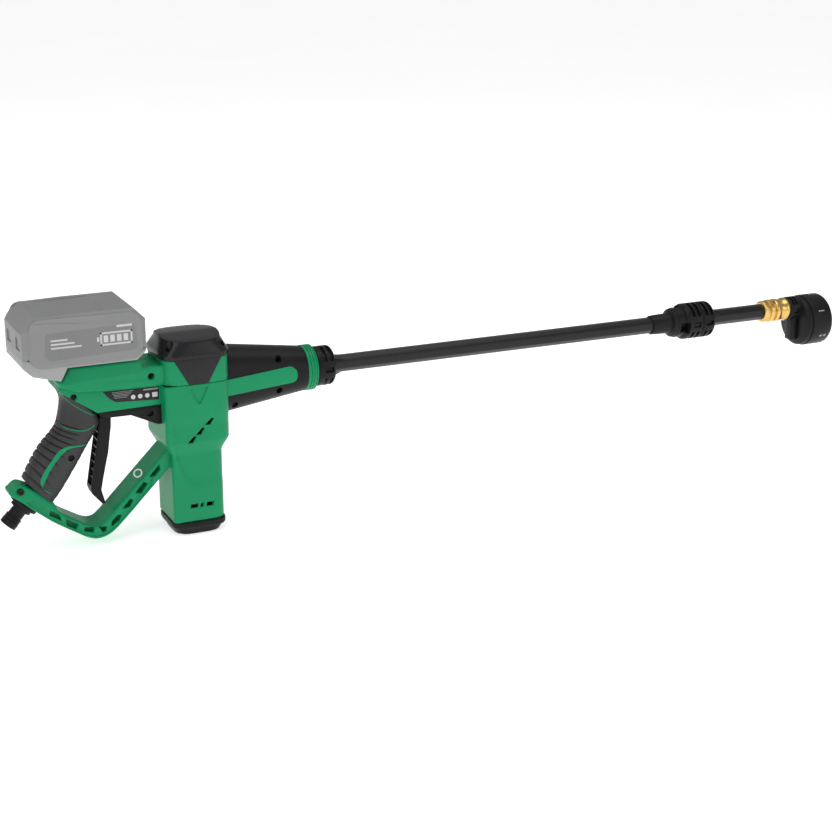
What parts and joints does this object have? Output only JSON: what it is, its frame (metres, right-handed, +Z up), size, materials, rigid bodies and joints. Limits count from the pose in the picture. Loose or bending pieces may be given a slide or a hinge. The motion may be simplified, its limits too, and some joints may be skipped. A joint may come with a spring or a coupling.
{
  "type": "cordless pressure washer gun",
  "caption": "Cordless pressure washer gun: pump barrel, rear trigger grip in a guard loop, slide-on battery, foregrip, bayonet lance, brass coupler and turret nozzle.",
  "frame": {"origin": "centre of the underside of the base cap, on the axis of the motor and pump barrel", "axes": "+X forwards along the lance towards the nozzle, +Y to the left hand of someone holding the gun, +Z up along the barrel; the gun is its own mirror image in y = 0 outside"},
  "size_m": [0.8941, 0.076, 0.227],
  "materials": {
    "green_plastic": "satin moulded",
    "black_plastic": "fine textured",
    "gloss_black_plastic": "satin sheen",
    "grey_plastic": "satin moulded",
    "soft_grip": "matt",
    "seal": "matt",
    "hose": "matt",
    "steel": "bright",
    "aluminium": "as cast",
    "brass": "polished",
    "copper_winding": "lacquered wire on a steel core",
    "acetal": "natural",
    "ceramic": "polished",
    "circuit_board": "solder mask",
    "cell_wrap": "shrink sleeve",
    "red_plastic": "satin"
  },
  "bodies": {
    "gun": {"housing_right": "green_plastic", "housing_left": "green_plastic", "motor_barrel": "green_plastic", "top_cap": "gloss_black_plastic", "base_cap": "black_plastic", "grip_rubber_right": "soft_grip", "grip_rubber_left": "soft_grip", "foregrip_right": "black_plastic", "foregrip_left": "black_plastic", "foregrip_inlays": "green_plastic", "front_ring": "green_plastic", "trigger_surround": "black_plastic", "housing_screws": "steel", "cap_screws": "steel", "inlet_nipple": "black_plastic", "inlet_oring": "seal", "inlet_hose": "hose", "micro_switch": "black_plastic", "control_board": "circuit_board", "battery_terminals": "brass", "motor_can": "steel", "motor_end_bell": "black_plastic", "gearbox_plate": "black_plastic", "ring_gear": "steel", "pump_block": "aluminium", "pump_head": "aluminium", "outlet_pipe": "steel", "lance_receiver": "black_plastic", "trigger_pin": "steel", "trigger_spring": "steel", "piston_springs": "steel"},
    "trigger": {"trigger": "black_plastic"},
    "switch_plunger": {"switch_plunger": "red_plastic"},
    "battery": {"battery_case": "grey_plastic", "battery_cover": "grey_plastic", "battery_cells": "cell_wrap", "latch_spring": "steel"},
    "battery_latch": {"battery_latch": "gloss_black_plastic"},
    "motor_rotor": {"motor_rotor": "copper_winding", "cooling_fan": "black_plastic", "sun_gear": "steel"},
    "planet_carrier": {"planet_carrier": "steel", "swash_plate": "steel"},
    "planet_1": {"planet_gear_1": "acetal"},
    "planet_2": {"planet_gear_2": "acetal"},
    "planet_3": {"planet_gear_3": "acetal"},
    "piston_1": {"piston_1": "ceramic"},
    "piston_2": {"piston_2": "ceramic"},
    "piston_3": {"piston_3": "ceramic"},
    "lance": {"lance_tube": "black_plastic", "lance_oring": "seal", "lance_socket": "black_plastic"},
    "extension": {"extension_tube": "black_plastic", "coupler_body": "brass"},
    "coupler_collar": {"coupler_collar": "brass"},
    "nozzle": {"nozzle_plug": "brass", "nozzle_body": "black_plastic"},
    "turret": {"nozzle_drum": "gloss_black_plastic", "nozzle_tips": "brass"}
  },
  "joints": [
    {"name": "trigger_pull", "type": "hinge", "parent": "gun", "child": "trigger", "pos_m": [-0.082, 0, 0.126], "axis": [0, 1, 0], "range_deg": [0, 13], "stiffness_Nm_per_rad": 0.6, "springref_deg": -20.05},
    {"name": "switch_press", "type": "slide", "parent": "gun", "child": "switch_plunger", "axis": [1, 0, 0], "range_m": [0, 0.0026]},
    {"name": "battery_slide", "type": "slide", "parent": "gun", "child": "battery", "axis": [-1, 0, 0], "range_m": [0, 0.1]},
    {"name": "latch_press", "type": "slide", "parent": "battery", "child": "battery_latch", "axis": [0, 0, 1], "range_m": [0, 0.0025], "stiffness_N_per_m": 600, "springref_m": -0.002, "deforming": ["latch_spring"]},
    {"name": "rotor_spin", "type": "hinge", "parent": "gun", "child": "motor_rotor", "pos_m": [0, 0, 0.05], "axis": [0, 0, 1], "continuous": true},
    {"name": "carrier_spin", "type": "hinge", "parent": "gun", "child": "planet_carrier", "pos_m": [0, 0, 0.1], "axis": [0, 0, 1], "continuous": true},
    {"name": "planet_1_spin", "type": "hinge", "parent": "planet_carrier", "child": "planet_1", "pos_m": [0.012, 0, 0.1], "axis": [0, 0, 1], "continuous": true},
    {"name": "planet_2_spin", "type": "hinge", "parent": "planet_carrier", "child": "planet_2", "pos_m": [-0.006, 0.01039, 0.1], "axis": [0, 0, 1], "continuous": true},
    {"name": "planet_3_spin", "type": "hinge", "parent": "planet_carrier", "child": "planet_3", "pos_m": [-0.006, -0.01039, 0.1], "axis": [0, 0, 1], "continuous": true},
    {"name": "piston_1_stroke", "type": "slide", "parent": "gun", "child": "piston_1", "axis": [0, 0, 1], "range_m": [0, 0.006], "stiffness_N_per_m": 900, "springref_m": -0.004, "deforming": ["piston_springs"]},
    {"name": "piston_2_stroke", "type": "slide", "parent": "gun", "child": "piston_2", "axis": [0, 0, 1], "range_m": [0, 0.006], "stiffness_N_per_m": 900, "springref_m": -0.004, "deforming": ["piston_springs"]},
    {"name": "piston_3_stroke", "type": "slide", "parent": "gun", "child": "piston_3", "axis": [0, 0, 1], "range_m": [0, 0.006], "stiffness_N_per_m": 900, "springref_m": -0.004, "deforming": ["piston_springs"]},
    {"name": "lance_twist", "type": "hinge", "parent": "gun", "child": "lance", "pos_m": [0.13, 0, 0.142], "axis": [1, 0, 0], "range_deg": [0, 60]},
    {"name": "extension_twist", "type": "hinge", "parent": "lance", "child": "extension", "pos_m": [0.55, 0, 0.142], "axis": [1, 0, 0], "range_deg": [0, 60]},
    {"name": "collar_pull", "type": "slide", "parent": "extension", "child": "coupler_collar", "axis": [-1, 0, 0], "range_m": [0, 0.0028], "stiffness_N_per_m": 1500, "springref_m": -0.002},
    {"name": "nozzle_swivel", "type": "hinge", "parent": "extension", "child": "nozzle", "pos_m": [0.66, 0, 0.142], "axis": [1, 0, 0], "continuous": true},
    {"name": "turret_turn", "type": "hinge", "parent": "nozzle", "child": "turret", "pos_m": [0.7, 0, 0.1275], "axis": [1, 0, 0], "continuous": true}
  ],
  "couplings": [
    {"joint": "switch_press", "follows": "trigger_pull", "m_per_rad": 0.011},
    {"joint": "carrier_spin", "follows": "rotor_spin", "ratio": 0.2},
    {"joint": "planet_1_spin", "follows": "rotor_spin", "ratio": -0.53333},
    {"joint": "planet_2_spin", "follows": "rotor_spin", "ratio": -0.53333},
    {"joint": "planet_3_spin", "follows": "rotor_spin", "ratio": -0.53333}
  ]
}
